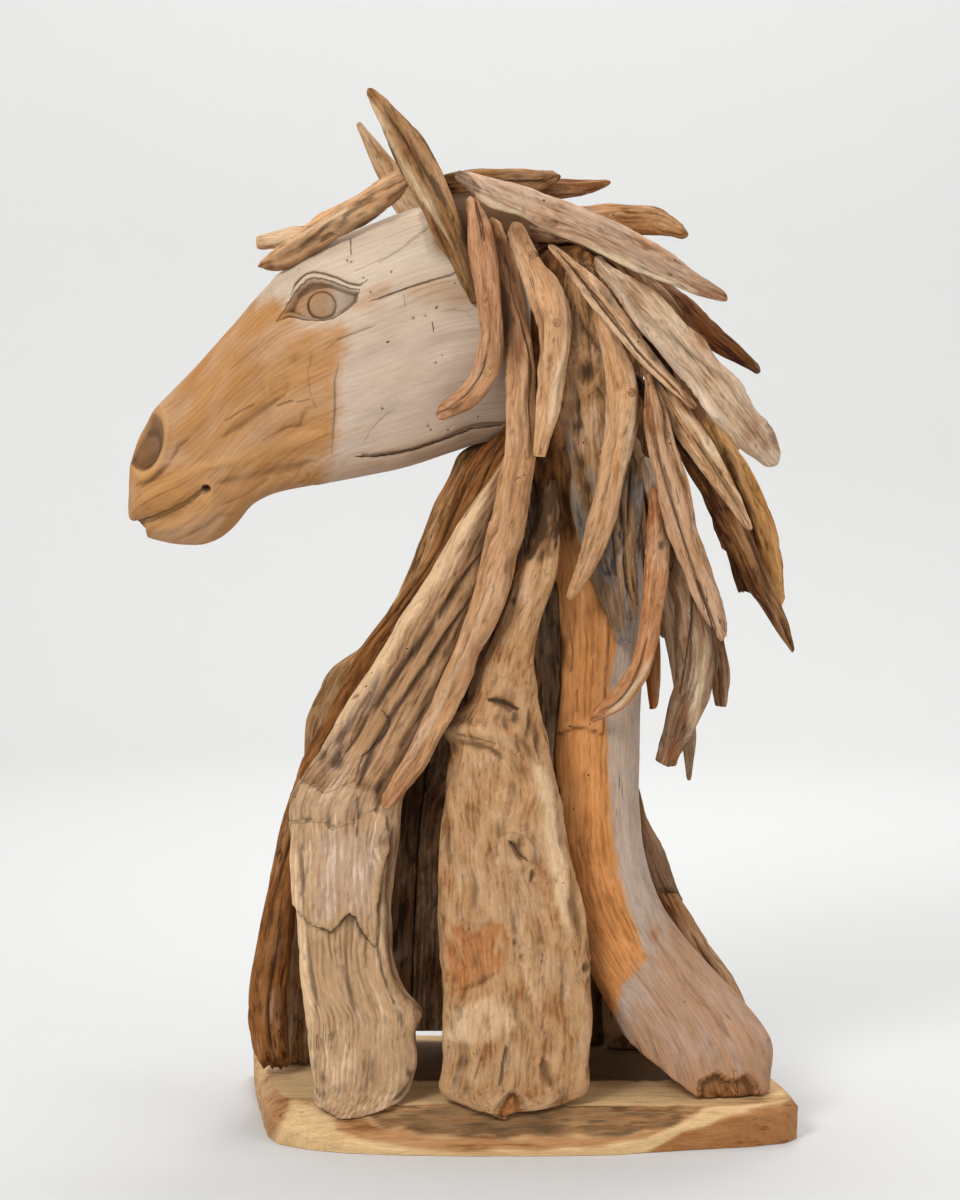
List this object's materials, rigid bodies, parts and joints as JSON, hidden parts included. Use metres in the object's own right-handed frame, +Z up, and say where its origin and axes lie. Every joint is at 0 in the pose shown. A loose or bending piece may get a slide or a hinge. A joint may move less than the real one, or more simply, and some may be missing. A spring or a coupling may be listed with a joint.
{
  "type": "driftwood horse head sculpture",
  "caption": "Carved wooden horse head on a neck and mane of driftwood planks and sticks, standing on a live-edge wooden slab.",
  "frame": {"origin": "on the underside of the slab, below the middle of the sculpture", "axes": "+Z up, -X towards the muzzle, -Y towards the side whose mane is fuller"},
  "size_m": [0.6666, 0.326, 1.0207],
  "materials": {
    "brown": "weathered",
    "dark": "rough, dark weathered",
    "grey": "weathered",
    "grey_brown": "weathered",
    "orange": "sanded, oiled",
    "pale": "weathered, sanded",
    "red_brown": "weathered",
    "tan": "weathered, sanded",
    "washed": "carved, white-washed"
  },
  "bodies": {
    "root": {"base": "tan", "crest_stick_front": "brown", "crest_stick_inner": "brown", "crest_stick_middle": "orange", "crest_stick_rear": "orange", "ear_far": "tan", "ear_near": "brown", "far_plank_foot": "brown", "far_plank_front": "dark", "far_plank_middle": "dark", "far_plank_rear": "brown", "forelock_far": "tan", "forelock_near": "brown", "head": "washed", "inner_plank": "grey", "knotty_plank": "grey_brown", "left_back_plank": "brown", "left_root": "tan", "mane_back_middle": "tan", "mane_back_upper": "brown", "mane_blunt_grey": "grey_brown", "mane_broad_pale": "pale", "mane_cheek_hook": "orange", "mane_crest_long": "grey_brown", "mane_curved_light": "orange", "mane_dark_inner": "dark", "mane_dark_upper": "dark", "mane_far_blunt": "brown", "mane_far_broad": "pale", "mane_far_cheek": "tan", "mane_far_crest": "grey_brown", "mane_far_curved": "pale", "mane_far_flank": "grey_brown", "mane_far_hook": "red_brown", "mane_far_inner": "brown", "mane_far_neck": "orange", "mane_far_outer": "orange", "mane_far_short": "tan", "mane_far_thin": "tan", "mane_grey_straight": "grey_brown", "mane_neck_long": "orange", "mane_orange_curve": "orange", "mane_outer_pointed": "tan", "mane_red_hook": "red_brown", "mane_short_cut": "orange", "mane_split_inner": "tan", "mane_thin_split": "tan", "mane_tip_brown": "orange", "mane_tip_dark": "brown", "mane_tip_small": "brown", "middle_root": "tan", "rear_plank_lower": "tan", "rear_plank_upper": "brown", "throat_plank": "dark", "trunk": "orange"}
  },
  "joints": []
}
